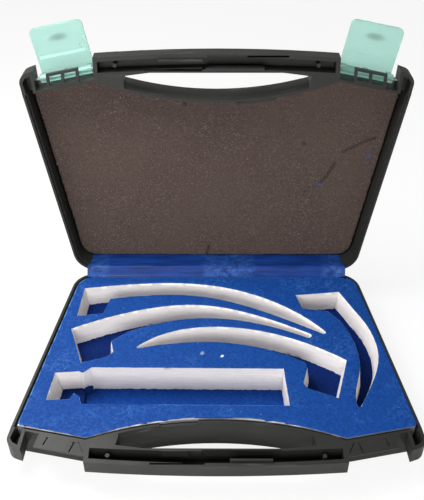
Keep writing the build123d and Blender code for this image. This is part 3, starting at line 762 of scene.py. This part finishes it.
def hingeStrip():
    look = {"halfWidth": 92.3 * mm, "thickness": 0.35 * mm, "across": 160, "along": 24,
            "cornerLift": 1.4 * mm, "crinkle": 0.24 * mm, "cornerStart": 86.0 * mm,
            "cornerRadius": 12.6 * mm, "rubbed": ((-92, -77), (-9, 27), (77, 91)), "fade": 5.0,
            "wallSheen": 0.55, "edgePower": 12, "freeEnd": 0.45, "freeRate": 2.2, "heldWrinkle": 0.35,
            "liftForward": 0.3, "clear": 0.1, "sharpAngle": 60,
            "wrinkles": ((70, 9, 1.3, 1), (260, 22, 4, 0.5)),  # scale across and along, seed, share
            "path": ((5.2, 0.25), (4.4, 0.45), (2.2, 2.0), (-0.2, 4.6), (-1.2, 4.95), (-2.6, 4.6),
                     (-8.0, 3.65), (-16.4, 2.15))}  # forward of the hinge line, above the rims, lid open
    points = [Vector((0, hingePoint.y - forward * mm, hingePoint.z + (up + look["clear"]) * mm))
              for forward, up in look["path"]]
    lengths = [0.0]
    for first, second in zip(points, points[1:]):
        lengths.append(lengths[-1] + (second - first).length)

    def onPath(share):
        goal = share * lengths[-1]
        index = next(i for i in range(1, len(points)) if goal <= lengths[i] + 1e-9)
        part = (goal - lengths[index - 1]) / (lengths[index] - lengths[index - 1])
        return points[index - 1].lerp(points[index], part)

    bm = bmesh.new()
    bmesh.ops.create_grid(bm, x_segments=look["across"], y_segments=look["along"], size=0.5)
    sheenMask = bm.verts.layers.float.new("sheenPatch")
    for vert in bm.verts:
        x, share = vert.co.x * 2 * look["halfWidth"], vert.co.y + 0.5
        # painted sheen: the x spans under 'rubbed' mark where the strip's colour is painted lighter for its
        # shine, fading over 'fade' mm and weaker on the half toward the lid
        rub = max(min((x / mm - low) / look["fade"], (high - x / mm) / look["fade"])
                  for low, high in look["rubbed"])
        vert[sheenMask] = min(1.0, max(0.0, rub + 0.5)) * (1.0 if share < 0.5 else look["wallSheen"])
        place = onPath(share)
        edge = abs(vert.co.x * 2) ** look["edgePower"]
        free = math.sin(math.pi * min(1, share * look["freeRate"])) if share < look["freeEnd"] else 0
        wrinkle = sum(part * noise.noise(Vector((x * across, share * along, seed)))
                      for across, along, seed, part in look["wrinkles"])
        lift = edge * free * look["cornerLift"] + wrinkle * look["crinkle"] * (look["heldWrinkle"] + free)
        past = max(0.0, abs(x) - look["cornerStart"])
        forward = past * past / (2 * look["cornerRadius"]) * share  # follows the lid's round corner
        vert.co = Vector((x, place.y - lift * look["liftForward"] - forward, place.z + abs(lift)))
    bmesh.ops.recalc_face_normals(bm, faces=bm.faces)
    if sum(face.normal.z for face in bm.faces) < 0:
        bmesh.ops.reverse_faces(bm, faces=bm.faces)
    bmesh.ops.solidify(bm, geom=bm.faces, thickness=look["thickness"])
    piece = makePiece(bm, "hingeStripCloth", clothBlue, look["sharpAngle"])
    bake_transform(piece)
    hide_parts("hinge_flap")


dressCadNodes()
print("CAD nodes dressed")
foamLayer("foam_lower_layer", "foamLowerLayer", 2.0)
foamLayer("foam_upper_layer", "foamUpperLayer", 2.0)
floorSheet("blade_floor_lining", "bladeFloorSheet", shadedBladeFlock)
floorSheet("handle_floor_lining", "handleFloorSheet", handleFlock)
floorSheet("handle_head_lining", "handleHeadSheet", shadedBladeFlock)
topLiningSheet()
print("insert ready")
lidPad()
print("lid pad ready")
hingeStrip()
print("hinge strip ready")


# Camera, lights and floor

def makeCamera():
    view = {"place": (0, -349.2 * mm, 435.7 * mm), "tilt": 47.8, "roll": -0.2, "turn": 0.4,
            "lens": 59.26, "sensor": 36, "nearest": 0.01}
    data = bpy.data.cameras.new("photoCamera")
    data.lens = view["lens"]
    data.sensor_width = view["sensor"]
    data.clip_start = view["nearest"]
    camera = bpy.data.objects.new("photoCamera", data)
    camera.location = view["place"]
    turn = Matrix.Rotation(math.radians(view["turn"]), 4, "Z")
    tilt = Matrix.Rotation(math.radians(view["tilt"]), 4, "X")
    roll = Matrix.Rotation(math.radians(view["roll"]), 4, "Z")
    camera.rotation_euler = (turn @ tilt @ roll).to_euler()
    scene.collection.objects.link(camera)
    scene.camera = camera


lights = {"windowLight": {"place": (-0.21, 0.1, 0.42), "target": (-0.04, 0, 0.03),
                          "size": (0.25, 0.25), "power": 2.7},
          "frontFill": {"place": (-0.08, -0.46, 0.26), "target": (0, 0, 0.03),
                        "size": (0.4, 0.25), "power": 2.3}}  # metres and watts


def makeLights():
    for name, look in lights.items():
        data = bpy.data.lights.new(name, "AREA")
        data.shape = "RECTANGLE"
        data.size, data.size_y = look["size"]
        data.energy = look["power"]
        lamp = bpy.data.objects.new(name, data)
        lamp.location = look["place"]
        facing = Vector(look["target"]) - Vector(look["place"])
        lamp.rotation_euler = facing.to_track_quat("-Z", "Y").to_euler()
        scene.collection.objects.link(lamp)


def seenDirectly(tree):  # camera and transmission rays
    rays = addNode(tree, "ShaderNodeLightPath")
    return mathNode(tree, "MAXIMUM", rays.outputs["Is Camera Ray"], rays.outputs["Is Transmission Ray"])


def makeWorld():
    look = {"ambient": (1.0, 0.98, 0.97, 1), "strength": 0.36, "seen": (1, 1, 1, 1)}
    world = bpy.data.worlds.new("studio")
    scene.world = world
    world.use_nodes = True
    tree = world.node_tree
    tree.nodes.clear()
    output = addNode(tree, "ShaderNodeOutputWorld")
    soft = addNode(tree, "ShaderNodeBackground", {"Color": look["ambient"], "Strength": look["strength"]})
    white = addNode(tree, "ShaderNodeBackground", {"Color": look["seen"], "Strength": 1.0})
    blend = addNode(tree, "ShaderNodeMixShader")
    tree.links.new(seenDirectly(tree), blend.inputs[0])
    tree.links.new(soft.outputs[0], blend.inputs[1])
    tree.links.new(white.outputs[0], blend.inputs[2])
    tree.links.new(blend.outputs[0], output.inputs[0])


def makeFloor():
    look = {"color": (0.9, 0.9, 0.9, 1), "rough": 0.8, "white": 0.86, "seen": (1, 1, 1, 1), "halfSize": 3.0}
    bm = bmesh.new()
    bmesh.ops.create_grid(bm, x_segments=2, y_segments=2, size=look["halfSize"])
    material, tree, shader = newMaterial("paleTable")
    shader.inputs["Base Color"].default_value = look["color"]
    shader.inputs["Roughness"].default_value = look["rough"]
    white = addNode(tree, "ShaderNodeEmission", {"Color": look["seen"], "Strength": 1.0})
    blend = addNode(tree, "ShaderNodeMixShader")
    tree.links.new(mathNode(tree, "MULTIPLY", seenDirectly(tree), look["white"]), blend.inputs[0])
    tree.links.new(shader.outputs[0], blend.inputs[1])
    tree.links.new(white.outputs[0], blend.inputs[2])
    tree.links.new(blend.outputs[0], tree.nodes["Material Output"].inputs["Surface"])
    floor = makePiece(bm, "table", material)


makeCamera()
makeWorld()
makeFloor()
makeLights()
print("camera and lights ready")
